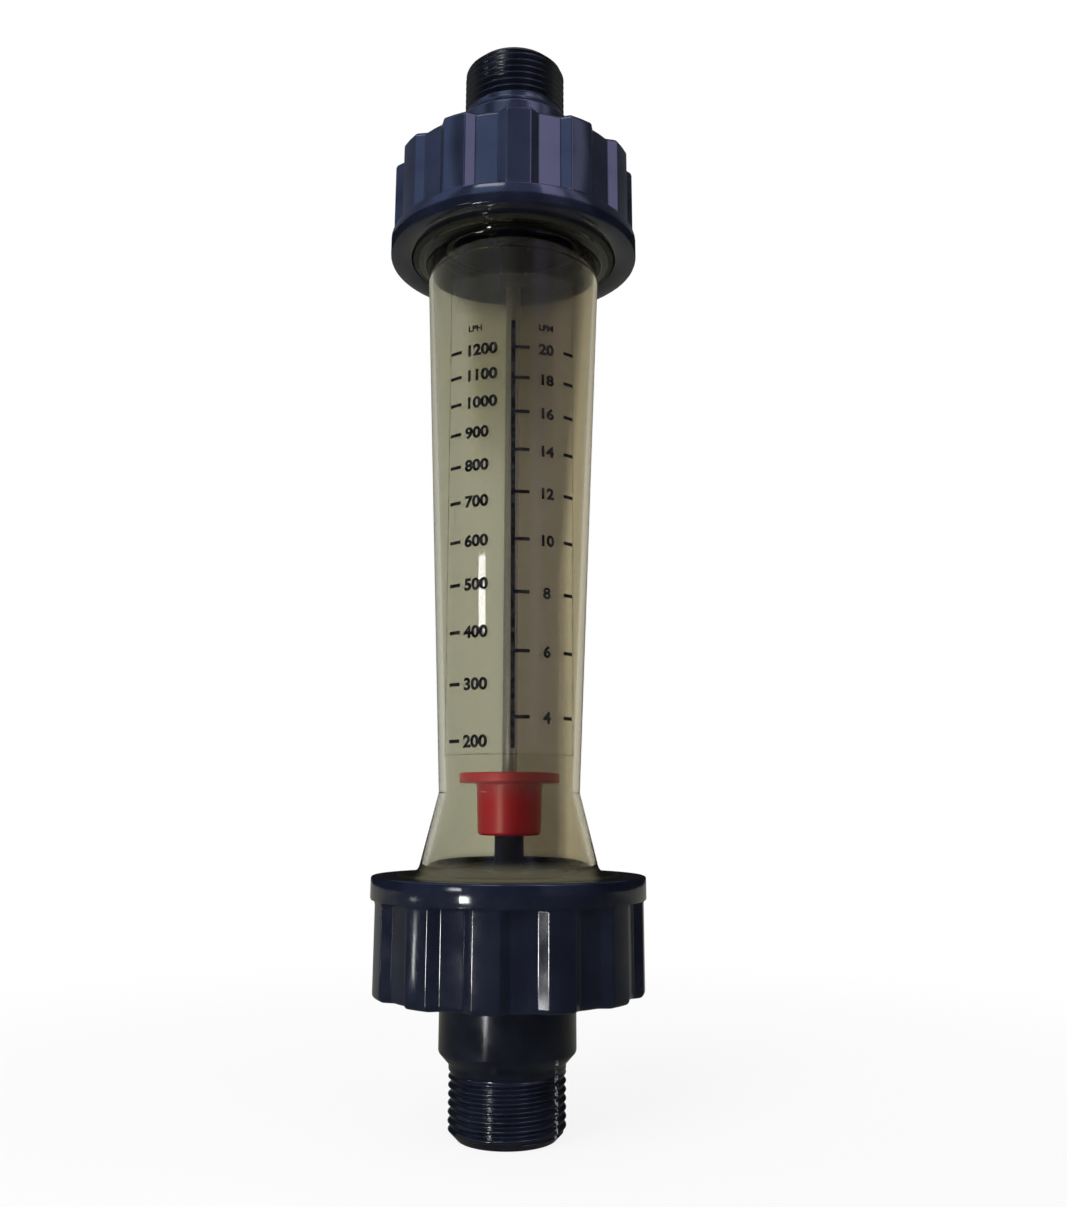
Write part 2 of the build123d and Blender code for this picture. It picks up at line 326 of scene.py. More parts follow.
tube_start, tube_end = 49.5, 285.5
union_radius, union_pitch, union_depth = 32.85, 2.309, 1.3
union_thread_length = 19.4
thread_inset, thread_lead, thread_run_out = 0.8, 0.6, 2.0
foot_shoulder, head_shoulder = 71.2, 263.8
foot_end = 94.1
foot_radius, head_radius = 20.9, 27.8
tube_wall, wall_lead = 2.1, 4.0
flare_radius, flare_fillet, head_fillet = 26.65, 3.0, 2.4
entry_bore, entry_bore_end = 24.0, 73.0
head_bore, head_bore_start = 26.3, 257.1
guide_seat, guide_seat_depth = 27.5, 12.0
taper = (head_radius - foot_radius) / (head_shoulder - foot_end)
bore_foot = foot_radius - tube_wall
bore_head = bore_foot + taper * (head_bore_start - foot_end)

tube_angles = full_turn(256)
lower_thread = thread_rows(tube_angles, union_radius, union_depth, union_pitch,
                           tube_start + thread_inset, tube_start + union_thread_length,
                           thread_lead, thread_run_out)
upper_thread = thread_rows(tube_angles, union_radius, union_depth, union_pitch,
                           tube_end - union_thread_length, tube_end - thread_inset,
                           thread_run_out, thread_lead)
foot_outside = rounded([
    (union_radius, tube_start + union_thread_length, 0),
    (union_radius, foot_shoulder, 0.9),
    (flare_radius, foot_shoulder, flare_fillet),
    (foot_radius, foot_end, 1.5),
    (foot_radius + taper * wall_lead, foot_end + wall_lead, 0),
])
head_outside = rounded([
    (head_radius - taper * wall_lead, head_shoulder - wall_lead, 0),
    (head_radius, head_shoulder, head_fillet),
    (union_radius, head_shoulder, 0.9),
    (union_radius, tube_end - union_thread_length, 0),
])
tube_inside = rounded([
    (union_radius - thread_inset, tube_end, 0.2),
    (guide_seat, tube_end, 0.3),
    (guide_seat, tube_end - guide_seat_depth, 0.2),
    (head_bore, tube_end - guide_seat_depth, 0.3),
    (head_bore, head_bore_start, 0.4),
    (bore_head, head_bore_start, 0.25),
    (bore_foot, foot_end, 1.5),
    (entry_bore, entry_bore_end, 3.0),
    (entry_bore, tube_start + guide_seat_depth, 0.3),
    (guide_seat, tube_start + guide_seat_depth, 0.2),
    (guide_seat, tube_start, 0.3),
    (union_radius - thread_inset, tube_start, 0.2),
])
tube_rows = lower_thread + foot_outside + head_outside + upper_thread + tube_inside
tube = turned("tube_moulding", tube_rows, tube_angles, sharp_from=40)
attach(tube, "meter_body")
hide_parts("metering_tube")

# Clear styrene copolymer, moulded and smoke-tinted khaki: high gloss. Painted shade turns the right
# half brown and darkens the middle towards the head and the back wall under the upper nut, and a
# painted highlight runs as a paler strip along the right edge. The threads inside the nuts carry
# painted shade, dark and matt, the foot mirrors less and its shoulder has a painted olive glow.
styrene_ior, styrene_roughness = 1.57, 0.03
# a pair of numbers is where a change starts and ends, in mm, across the tube or up it
# painted shade makes the right half brown, and painted light makes a paler strip at the right edge
smoke_left, right_painted_shade, right_edge_painted_light = "#c4c3b2", "#999282", "#c6bfa8"
painted_shade_blend, painted_light_strip = 7.0, (15.0, 16.8)
strip_rise, strip_turn = (160.0, 246.0), 6.2
# painted shade: darker up the middle of the tube towards the head
painted_shade_rise, painted_shade_high = (182.0, 226.0), "#dcd9ce"
middle_half_width, beside_middle = (16.0, 9.0), 0.1
# painted shadow: darker on the back wall's middle just under the upper nut
arch_rise, arch_half_width, arch_painted_shadow = (249.0, 265.0), (26.0, 16.0), "#55534e"
# painted shade: the threads inside the nuts turn dark and matt
nut_edge, thread_shade_radius = (-2.0, 0.6), 31.0
thread_painted_shade, thread_shade_share = "#24241f", 0.8
foot_blend, foot_dulling = 3.0, 0.85
# painted light: an olive glow on the middle of the foot's shoulder, front and back
shoulder_rise, shoulder_from, shoulder_radius = (4.5, 0.5), -0.7, 25.0
shoulder_painted_light, shoulder_glow, shoulder_lit = "#7d7860", 0.45, (26.5, 22.5)
styrene, tree, shader = principled("smoked_styrene_moulded", {
    "IOR": styrene_ior, "Transmission Weight": 1.0, "Roughness": styrene_roughness})
place = add_node(tree, "ShaderNodeTexCoord")
across = add_node(tree, "ShaderNodeSeparateXYZ", {}, {0: place.outputs["Object"]})
# Painted shade: brown over the right half, then a painted highlight strip along the right edge.
side = add_node(tree, "ShaderNodeMapRange", {
    "interpolation_type": "SMOOTHSTEP", "From Min": -0.5 * painted_shade_blend * MM,
    "From Max": 0.5 * painted_shade_blend * MM}, {"Value": across.outputs["X"]})
tint_and_painted_light = add_node(tree, "ShaderNodeMix", {
    "data_type": "RGBA", 6: linear(smoke_left), 7: linear(right_painted_shade)}, {0: side.outputs[0]})
strip_shift = add_node(tree, "ShaderNodeMapRange", {
    "From Min": strip_rise[0] * MM, "From Max": strip_rise[1] * MM, "To Max": strip_turn * MM},
    {"Value": across.outputs["Z"]})
from_strip = add_node(tree, "ShaderNodeMath", {"operation": "SUBTRACT"},
                      {0: across.outputs["X"], 1: strip_shift.outputs[0]})
strip = add_node(tree, "ShaderNodeMapRange", {
    "interpolation_type": "SMOOTHSTEP", "From Min": painted_light_strip[0] * MM,
    "From Max": painted_light_strip[1] * MM}, {"Value": from_strip.outputs[0]})
tint_and_painted_light = add_node(tree, "ShaderNodeMix", {"data_type": "RGBA", 7: linear(right_edge_painted_light)},
                {0: strip.outputs[0], 6: tint_and_painted_light.outputs[2]})
# Painted shade: darker up the middle towards the head.
climb = add_node(tree, "ShaderNodeMapRange", {
    "interpolation_type": "SMOOTHSTEP", "From Min": painted_shade_rise[0] * MM,
    "From Max": painted_shade_rise[1] * MM}, {"Value": across.outputs["Z"]})
off_middle = add_node(tree, "ShaderNodeMath", {"operation": "ABSOLUTE"}, {0: across.outputs["X"]})
middle = add_node(tree, "ShaderNodeMapRange", {
    "interpolation_type": "SMOOTHSTEP", "From Min": middle_half_width[0] * MM,
    "From Max": middle_half_width[1] * MM, "To Min": beside_middle},
    {"Value": off_middle.outputs[0]})
darker = add_node(tree, "ShaderNodeMath", {"operation": "MULTIPLY"},
                  {0: climb.outputs[0], 1: middle.outputs[0]})
tint_and_painted_light = add_node(tree, "ShaderNodeMix", {
    "data_type": "RGBA", "blend_type": "MULTIPLY", 7: linear(painted_shade_high)},
    {0: darker.outputs[0], 6: tint_and_painted_light.outputs[2]})
# Painted shadow on the back wall's middle under the upper nut.
under_nut = add_node(tree, "ShaderNodeMapRange", {
    "interpolation_type": "SMOOTHSTEP", "From Min": arch_rise[0] * MM,
    "From Max": arch_rise[1] * MM}, {"Value": across.outputs["Z"]})
at_back = add_node(tree, "ShaderNodeMath", {"operation": "GREATER_THAN", 1: 0.0},
                   {0: across.outputs["Y"]})
in_arch = add_node(tree, "ShaderNodeMapRange", {
    "interpolation_type": "SMOOTHSTEP", "From Min": arch_half_width[0] * MM,
    "From Max": arch_half_width[1] * MM}, {"Value": off_middle.outputs[0]})
high_at_back = add_node(tree, "ShaderNodeMath", {"operation": "MULTIPLY"},
                        {0: under_nut.outputs[0], 1: at_back.outputs[0]})
arch = add_node(tree, "ShaderNodeMath", {"operation": "MULTIPLY"},
                {0: high_at_back.outputs[0], 1: in_arch.outputs[0]})
tint_and_painted_light = add_node(tree, "ShaderNodeMix", {
    "data_type": "RGBA", "blend_type": "MULTIPLY", 7: linear(arch_painted_shadow)},
    {0: arch.outputs[0], 6: tint_and_painted_light.outputs[2]})
tree.links.new(tint_and_painted_light.outputs[2], shader.inputs["Base Color"])
path = add_node(tree, "ShaderNodeLightPath")
lamp_ray = add_node(tree, "ShaderNodeMath", {"operation": "MAXIMUM"},
                    {0: path.outputs["Is Shadow Ray"], 1: path.outputs["Is Diffuse Ray"]})
half_height = overall_height / 2
from_middle = add_node(tree, "ShaderNodeMath", {"operation": "SUBTRACT", 1: half_height * MM},
                       {0: across.outputs["Z"]})
distance = add_node(tree, "ShaderNodeMath", {"operation": "ABSOLUTE"}, {0: from_middle.outputs[0]})
# Painted shade: the threads inside the nuts turn dark and matt.
in_nut = add_node(tree, "ShaderNodeMapRange", {
    "interpolation_type": "SMOOTHSTEP", "From Min": (head_shoulder + nut_edge[0] - half_height) * MM,
    "From Max": (head_shoulder + nut_edge[1] - half_height) * MM}, {"Value": distance.outputs[0]})
flat_place = add_node(tree, "ShaderNodeCombineXYZ", {},
                      {0: across.outputs["X"], 1: across.outputs["Y"]})
reach = add_node(tree, "ShaderNodeVectorMath", {"operation": "LENGTH"}, {0: flat_place.outputs[0]})
on_thread = add_node(tree, "ShaderNodeMath", {
    "operation": "GREATER_THAN", 1: thread_shade_radius * MM}, {0: reach.outputs["Value"]})
shaded = add_node(tree, "ShaderNodeMath", {"operation": "MULTIPLY"},
                  {0: in_nut.outputs[0], 1: on_thread.outputs[0]})
shade = add_node(tree, "ShaderNodeMath", {"operation": "MULTIPLY", 1: thread_shade_share},
                 {0: shaded.outputs[0]})
painted_shade_bsdf = add_node(tree, "ShaderNodeBsdfDiffuse", {"Color": linear(thread_painted_shade)})
one_face = add_node(tree, "ShaderNodeGamma", {"Gamma": 0.5}, {"Color": tint_and_painted_light.outputs[2]})
dull_foot = add_node(tree, "ShaderNodeBsdfRefraction", {
    "IOR": styrene_ior, "Roughness": styrene_roughness}, {"Color": one_face.outputs[0]})
in_foot = add_node(tree, "ShaderNodeMapRange", {
    "interpolation_type": "SMOOTHSTEP", "From Min": (foot_end + foot_blend) * MM,
    "From Max": (foot_end - foot_blend) * MM, "To Max": foot_dulling},
    {"Value": across.outputs["Z"]})
dulled = add_node(tree, "ShaderNodeMath", {"operation": "MULTIPLY"},
                  {0: in_foot.outputs[0], 1: middle.outputs[0]})
clear = add_node(tree, "ShaderNodeMixShader", {},
                 {0: dulled.outputs[0], 1: shader.outputs[0], 2: dull_foot.outputs[0]})
clear_or_shaded = add_node(tree, "ShaderNodeMixShader", {},
                          {0: shade.outputs[0], 1: clear.outputs[0], 2: painted_shade_bsdf.outputs[0]})
# Painted light: an olive glow on the middle of the foot's shoulder.
near_foot = add_node(tree, "ShaderNodeMapRange", {
    "interpolation_type": "SMOOTHSTEP", "From Min": (foot_shoulder + shoulder_rise[0]) * MM,
    "From Max": (foot_shoulder + shoulder_rise[1]) * MM}, {"Value": across.outputs["Z"]})
above_mouth = add_node(tree, "ShaderNodeMath", {
    "operation": "GREATER_THAN", 1: (foot_shoulder + shoulder_from) * MM},
    {0: across.outputs["Z"]})
wide = add_node(tree, "ShaderNodeMath", {"operation": "GREATER_THAN", 1: shoulder_radius * MM},
                {0: reach.outputs["Value"]})
on_shoulder = add_node(tree, "ShaderNodeMath", {"operation": "MULTIPLY"},
                       {0: near_foot.outputs[0], 1: above_mouth.outputs[0]})
on_flare = add_node(tree, "ShaderNodeMath", {"operation": "MULTIPLY"},
                    {0: on_shoulder.outputs[0], 1: wide.outputs[0]})
facing = add_node(tree, "ShaderNodeMapRange", {
    "interpolation_type": "SMOOTHSTEP", "From Min": shoulder_lit[0] * MM,
    "From Max": shoulder_lit[1] * MM, "To Max": shoulder_glow}, {"Value": off_middle.outputs[0]})
lit_flare = add_node(tree, "ShaderNodeMath", {"operation": "MULTIPLY"},
                     {0: on_flare.outputs[0], 1: facing.outputs[0]})
painted_glow = add_node(tree, "ShaderNodeBsdfDiffuse", {"Color": linear(shoulder_painted_light)})
seen_wall = add_node(tree, "ShaderNodeMixShader", {},
                     {0: lit_flare.outputs[0], 1: clear_or_shaded.outputs[0], 2: painted_glow.outputs[0]})
# Lamps reach the float through the wall as through thin tinted sheet.
let_through = add_node(tree, "ShaderNodeBsdfTransparent", {}, {"Color": one_face.outputs[0]})
wall = add_node(tree, "ShaderNodeMixShader", {},
                {0: lamp_ray.outputs[0], 1: seen_wall.outputs[0], 2: let_through.outputs[0]})
output = next(node for node in tree.nodes if node.type == "OUTPUT_MATERIAL")
tree.links.new(wall.outputs[0], output.inputs["Surface"])
tube.data.materials.append(styrene)

# Scale film: clear self-adhesive polyester, 0.2 mm thick, wrapped on the front of the taper with
# upright edges. Grime has settled along its edges, and the scales are printed on it in black.
film_foot, film_head = 104.4, 248.0
film_half_width = 18.7
film_glue, film_thickness = 0.15, 0.2
film_columns, film_rows = 48, 36


def wall_radius(height):
    """Outside radius of the tapered wall at this height."""
    return foot_radius + taper * (height - foot_end)


def film_shell():
    """Points and faces of the closed film: an inner and an outer skin joined at the edges."""
    points, faces = [], []
    for skin in (film_glue, film_glue + film_thickness):
        for row in range(film_rows + 1):
            height = film_foot + (film_head - film_foot) * row / film_rows
            reach = wall_radius(height) + skin
            for column in range(film_columns + 1):
                angle = asin(film_half_width * (2 * column / film_columns - 1) / reach)
                points.append((reach * sin(angle) * MM, -reach * cos(angle) * MM, height * MM))
    width = film_columns + 1
    outer = width * (film_rows + 1)
    for row in range(film_rows):
        for column in range(film_columns):
            corner = row * width + column
            faces.append((corner, corner + 1, corner + width + 1, corner + width))
            quad = (corner, corner + width, corner + width + 1, corner + 1)
            faces.append(tuple(outer + index for index in quad))
    for column in range(film_columns):
        for corner in (column, film_rows * width + column):
            faces.append((corner, outer + corner, outer + corner + 1, corner + 1))
    for row in range(film_rows):
        for corner in (row * width, row * width + film_columns):
            faces.append((corner, corner + width, outer + corner + width, outer + corner))
    return points, faces


film_points, film_faces = film_shell()
film_mesh = bpy.data.meshes.new("printed_film")
film_mesh.from_pydata(film_points, [], film_faces)
finish_mesh(film_mesh, 40)
film = bpy.data.objects.new("printed_film", film_mesh)
bpy.context.scene.collection.objects.link(film)
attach(film, "meter_body")
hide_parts("scale_film")

# Polyester film: nearly invisible, with a faint warm haze, and a broken line of grime where the
# adhesive shows at its edges.
film_haze, edge_grime, edge_grime_width = 0.012, (0.12, 0.3), 0.35
grime_speck, grime_breaks = 4.0, (0.48, 0.62)
polyester, tree, shader = principled("clear_polyester_film", {
    "Roughness": 0.12, "IOR": 1.5, "Specular IOR Level": 0.3})
place = add_node(tree, "ShaderNodeTexCoord")
across = add_node(tree, "ShaderNodeSeparateXYZ", {}, {0: place.outputs["Object"]})
from_middle = add_node(tree, "ShaderNodeMath", {"operation": "ABSOLUTE"}, {0: across.outputs["X"]})
side_edge = add_node(tree, "ShaderNodeMath", {
    "operation": "GREATER_THAN", 1: (film_half_width - edge_grime_width) * MM},
    {0: from_middle.outputs[0]})
foot_edge = add_node(tree, "ShaderNodeMath", {
    "operation": "LESS_THAN", 1: (film_foot + edge_grime_width) * MM}, {0: across.outputs["Z"]})
edge = add_node(tree, "ShaderNodeMath", {"operation": "MAXIMUM"},
                {0: side_edge.outputs[0], 1: foot_edge.outputs[0]})
specks = add_node(tree, "ShaderNodeTexNoise", {"Scale": 1 / (grime_speck * MM), "Detail": 4.0},
                  {"Vector": place.outputs["Object"]})
broken = add_node(tree, "ShaderNodeMapRange", {
    "From Min": grime_breaks[0], "From Max": grime_breaks[1], "To Min": edge_grime[0],
    "To Max": edge_grime[1]}, {"Value": specks.outputs[0]})
line = add_node(tree, "ShaderNodeMath", {"operation": "MULTIPLY"},
                {0: edge.outputs[0], 1: broken.outputs[0]})
alpha = add_node(tree, "ShaderNodeMath", {"operation": "ADD", 1: film_haze}, {0: line.outputs[0]})
colour = add_node(tree, "ShaderNodeMix", {
    "data_type": "RGBA", 6: linear("#b9b6a4"), 7: linear("#3c382c")}, {0: edge.outputs[0]})
tree.links.new(alpha.outputs[0], shader.inputs["Alpha"])
tree.links.new(colour.outputs[2], shader.inputs["Base Color"])
film_mesh.materials.append(polyester)

# Print: two flow scales either side of a centre line, screen printed in black ink on the film.
# Heights follow the taper's law, from the flow in litres a minute.
ink_lift, ink_thickness = 0.02, 0.03
scale_law = (72.2319, 11.6339, -0.2495, 0.0024)
hourly_marks = range(200, 1201, 100)
minute_marks = range(4, 21, 2)
centre_line, centre_line_width = 0.6, 1.2
centre_line_foot, centre_line_head = 106.2, 232.6
print_lean = 0.6
tick_thickness = 1.0
hourly_tick, hourly_number = (-20.0, -15.7), -14.2
minute_tick, minute_number, outer_tick = (1.0, 5.4), 10.7, (16.6, 20.3)
hourly_digit_height, minute_digit_height, unit_height = 3.4, 3.2, 1.8
digit_share_of_size = 0.727
unit_row = 230.2
hourly_unit, minute_unit = -13.4, 8.2
hourly_weight, minute_weight, unit_weight = 0.2, 0.17, 0.1


def mark_height(litres_a_minute):
    """Height of a flow mark in mm."""
    return sum(share * litres_a_minute ** power for power, share in enumerate(scale_law))


def on_film(point):
    """Point on the film for (arc from the front, height, lift) in mm."""
    arc, height, lift = point
    arc += print_lean * (centre_line_head - height) / (centre_line_head - centre_line_foot)
    reach = wall_radius(height) + film_glue + film_thickness + ink_lift + lift
    angle = arc / wall_radius(height)
    return (reach * sin(angle) * MM, -reach * cos(angle) * MM, height * MM)


def ink_block(points, faces, left, right, foot, head, columns=6, row_height=8.0):
    """Add a printed bar to the ink's points and faces."""
    rows = max(1, int((head - foot) / row_height))
    first = len(points)
    width = columns + 1
    for lift in (0.0, ink_thickness):
        for row in range(rows + 1):
            height = foot + (head - foot) * row / rows
            for column in range(width):
                points.append((left + (right - left) * column / columns, height, lift))
    outer = width * (rows + 1)
    grid = [(row * width + column) for row in range(rows) for column in range(columns)]
    quads = [(c, c + width, c + width + 1, c + 1) for c in grid]
    quads += [(outer + c, outer + c + 1, outer + c + width + 1, outer + c + width) for c in grid]
    for column in range(columns):
        for c in (column, rows * width + column):
            quads.append((c, c + 1, outer + c + 1, outer + c))
    for row in range(rows):
        for c in (row * width, row * width + columns):
            quads.append((c, outer + c, outer + c + width, c + width))
    faces.extend(tuple(first + index for index in quad) for quad in quads)


def ink_text(points, faces, text, arc, foot, digit_height, align, weight, stretch=1.08):
    """Add printed characters, standing on the given height, to the ink's points and faces."""
    letters = bpy.data.curves.new("letters", "FONT")
    letters.body = text
    letters.align_x = align
    letters.size = digit_height / digit_share_of_size
    letters.offset = weight
    letters.resolution_u = 4
    letters.extrude = ink_thickness / 2
    holder = bpy.data.objects.new("letters", letters)
    bpy.context.scene.collection.objects.link(holder)
    bpy.context.view_layer.update()
    depsgraph = bpy.context.evaluated_depsgraph_get()
    mesh = bpy.data.meshes.new_from_object(holder.evaluated_get(depsgraph))
    first = len(points)
    for vertex in mesh.vertices:
        x, y, z = vertex.co
        points.append((arc + x * stretch, foot + y, z + ink_thickness / 2))
    faces.extend(tuple(first + index for index in face.vertices) for face in mesh.polygons)
    bpy.data.objects.remove(holder)
    bpy.data.curves.remove(letters)
    bpy.data.meshes.remove(mesh)


ink_points, ink_faces = [], []
ink_block(ink_points, ink_faces, centre_line - centre_line_width / 2,
          centre_line + centre_line_width / 2, centre_line_foot, centre_line_head, columns=2)
for flow in hourly_marks:
    height = mark_height(flow / 60)
    tick_foot, tick_head = height - tick_thickness / 2, height + tick_thickness / 2
    ink_block(ink_points, ink_faces, *hourly_tick, tick_foot, tick_head)
    ink_text(ink_points, ink_faces, str(flow), hourly_number, height - hourly_digit_height / 2,
             hourly_digit_height, "LEFT", hourly_weight)
for flow in minute_marks:
    height = mark_height(flow)
    tick_foot, tick_head = height - tick_thickness / 2, height + tick_thickness / 2
    for tick in (minute_tick, outer_tick):
        ink_block(ink_points, ink_faces, *tick, tick_foot, tick_head)
    ink_text(ink_points, ink_faces, str(flow), minute_number, height - minute_digit_height / 2,
             minute_digit_height, "CENTER", minute_weight)
for unit, arc in (("LPH", hourly_unit), ("LPM", minute_unit)):
    ink_text(ink_points, ink_faces, unit, arc, unit_row, unit_height, "LEFT", unit_weight)
ink_mesh = bpy.data.meshes.new("scale_print")
ink_mesh.from_pydata([on_film(point) for point in ink_points], [], ink_faces)
finish_mesh(ink_mesh, 40)
ink = bpy.data.objects.new("scale_print", ink_mesh)
bpy.context.scene.collection.objects.link(ink)
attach(ink, "meter_body")

# Screen ink: dense matt black, worn a little grey where it has rubbed.
rub_size = 1.5
rub_tones = ((0.42, "#0a090b"), (0.75, "#2b2a2e"))
ink_paint, tree, shader = principled("black_screen_ink", {
    "Roughness": 0.5, "Specular IOR Level": 0.02})
place = add_node(tree, "ShaderNodeTexCoord")
rub = add_node(tree, "ShaderNodeTexNoise", {"Scale": 1 / (rub_size * MM), "Detail": 6.0},
               {"Vector": place.outputs["Object"]})
ink_tone = add_node(tree, "ShaderNodeValToRGB", {}, {0: rub.outputs[0]})
for stop, (position, tone) in zip(ink_tone.color_ramp.elements, rub_tones):
    stop.position = position
    stop.color = linear(tone)
tree.links.new(ink_tone.outputs[0], shader.inputs["Base Color"])
ink_mesh.materials.append(ink_paint)

# Guide rod: centreless-ground stainless steel, 4.5 mm thick, trapped between the blind hubs of
# the two guides. Its ground skin has a fine grain, and dull streaks run along it.
rod_radius, rod_foot, rod_head, rod_edge = 2.25, 54.0, 281.0, 0.45
rod_axis = 0.01
rod_rows = rounded([(rod_radius, rod_foot, rod_edge), (rod_radius, rod_head, rod_edge),
                    (rod_axis, rod_head, 0), (rod_axis, rod_foot, 0)])
rod = turned("ground_rod", rod_rows, full_turn(64))
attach(rod, "meter_body")
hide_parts("guide_rod")
# Ground stainless steel: a soft grey sheen. The grain is drawn coarser than the real grit, so
# that it shows.
streak_width, streak_stretch = 0.8, 0.04
grit_size, grit_depth = 0.25, 0.02
steel, tree, shader = principled("stainless_steel_ground", {"Metallic": 1.0, "Roughness": 0.3})
place = add_node(tree, "ShaderNodeTexCoord")
along = add_node(tree, "ShaderNodeMapping", {"Scale": (1.0, 1.0, streak_stretch)},
                 {"Vector": place.outputs["Object"]})
streaks = add_node(tree, "ShaderNodeTexNoise", {"Scale": 1 / (streak_width * MM), "Detail": 3.0},
                   {"Vector": along.outputs[0]})
tone = add_node(tree, "ShaderNodeMix", {
    "data_type": "RGBA", 6: linear("#8b8a92"), 7: linear("#b9b8bf")}, {0: streaks.outputs[0]})
tree.links.new(tone.outputs[2], shader.inputs["Base Color"])
grind = add_node(tree, "ShaderNodeTexNoise", {"Scale": 1 / (grit_size * MM), "Detail": 2.0},
                 {"Vector": place.outputs["Object"]})
bump = add_node(tree, "ShaderNodeBump", {"Strength": 0.15, "Distance": grit_depth * MM},
                {"Height": grind.outputs[0]})
tree.links.new(bump.outputs[0], shader.inputs["Normal"])
rod.data.materials.append(steel)

# Float: a spool moulded in red plastic and bored for the rod. The disc's top edge is read on the
# scale; the body below it keeps the float upright.
float_foot, float_disc_foot, float_head = 81.3, 97.0, 99.9
float_disc_radius, float_body_radius, float_foot_radius, float_bore = 14.9, 9.7, 9.3, 2.55
float_rows = rounded([
    (float_bore, float_foot, 0.4), (float_foot_radius, float_foot, 1.1),
    (float_body_radius, float_disc_foot, 1.0), (float_disc_radius, float_disc_foot, 0.5),
    (float_disc_radius, float_head, 0.5), (float_bore, float_head, 0.3)])
spool = turned("float_spool", float_rows, full_turn(160))
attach(spool, "float_body")
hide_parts("float")
# Red acetal, moulded: satin, slightly mottled, with fine up-and-down drag marks on the body.
drag_width, drag_stretch, drag_depth = 1.2, 0.12, 0.03
glow_depth, glow_spread = 1.5, (1.0, 0.25, 0.2)
acetal, tree, shader = principled("red_acetal_moulded", {
    "Roughness": 0.36, "IOR": 1.48, "Subsurface Weight": 0.08,
    "Subsurface Scale": glow_depth * MM, "Subsurface Radius": glow_spread})
place = add_node(tree, "ShaderNodeTexCoord")
drag = add_node(tree, "ShaderNodeMapping", {"Scale": (1.0, 1.0, drag_stretch)},
                {"Vector": place.outputs["Object"]})
drag_marks = add_node(tree, "ShaderNodeTexNoise", {"Scale": 1 / (drag_width * MM), "Detail": 5.0},
                      {"Vector": drag.outputs[0]})
red = add_node(tree, "ShaderNodeMix", {
    "data_type": "RGBA", 6: linear("#c6122e"), 7: linear("#dc2a44")}, {0: drag_marks.outputs[0]})
tree.links.new(red.outputs[2], shader.inputs["Base Color"])
bump = add_node(tree, "ShaderNodeBump", {"Strength": 0.2, "Distance": drag_depth * MM},
                {"Height": drag_marks.outputs[0]})
tree.links.new(bump.outputs[0], shader.inputs["Normal"])
spool.data.materials.append(acetal)


# Guides and float stops: black nylon spiders seated in the tube's ends carry the rod, and a rubber
# sleeve on the rod under each hub stops the float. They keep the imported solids.
def moulded_plastic(name, dark, light, mottle, roughness, specular=0.5, speck=0.4, relief=0.03):
    """Dark moulded plastic or rubber: two close tones in soft patches and a fine moulded grain."""
    patch_edges = (0.38, 0.66)
    paint, tree, shader = principled(name, {"IOR": 1.5, "Specular IOR Level": specular})
    place = add_node(tree, "ShaderNodeTexCoord")
    patches = add_node(tree, "ShaderNodeTexNoise", {"Scale": 1 / (mottle * MM), "Detail": 4.0},
                       {"Vector": place.outputs["Object"]})
    blend = add_node(tree, "ShaderNodeMapRange", {
        "From Min": patch_edges[0], "From Max": patch_edges[1]}, {"Value": patches.outputs[0]})
    tone = add_node(tree, "ShaderNodeMix", {"data_type": "RGBA", 6: linear(dark), 7: linear(light)},
                    {0: blend.outputs[0]})
    gloss = add_node(tree, "ShaderNodeMapRange", {"To Min": roughness[0], "To Max": roughness[1]},
                     {"Value": blend.outputs[0]})
    grain = add_node(tree, "ShaderNodeTexNoise", {"Scale": 1 / (speck * MM), "Detail": 3.0},
                     {"Vector": place.outputs["Object"]})
    bump = add_node(tree, "ShaderNodeBump", {"Strength": 0.25, "Distance": relief * MM},
                    {"Height": grain.outputs[0]})
    tree.links.new(tone.outputs[2], shader.inputs["Base Color"])
    tree.links.new(gloss.outputs[0], shader.inputs["Roughness"])
    tree.links.new(bump.outputs[0], shader.inputs["Normal"])
    return paint, tree, shader


def dress(node, paint):
    """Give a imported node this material."""
    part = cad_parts[node]
    part.data.materials.clear()
    part.data.materials.append(paint)


nylon = moulded_plastic("black_nylon_moulded", "#15151f", "#20202c", 6.0, (0.3, 0.42))[0]
stop_rubber = moulded_plastic("black_nitrile_sleeve", "#121116", "#1c1a20", 3.0, (0.45, 0.6),
                              specular=0.08)[0]
for end in ("inlet", "outlet"):
    dress(f"{end}_guide", nylon)
    dress(f"{end}_float_stop", stop_rubber)

# Connectors: moulded in dark navy plastic, with a one-inch pipe thread, a plain collar and the
# flange that the nut pulls up. A broken line of moulding flash runs down the lower pipe end.
pipe_radius, pipe_pitch, pipe_depth = 16.62, 2.309, 1.05
pipe_thread_end, pipe_run_out, neck_end = 18.4, 1.6, 19.6
collar_foot, flange_foot = 22.8, 43.5
flow_bore, collar_radius, connector_flange = 12.0, 19.6, 30.0
end_chamfer = 2.6
o_ring_radius, groove_half_width, groove_depth = 25.2, 1.7, 2.7
connector_angles = full_turn(192)


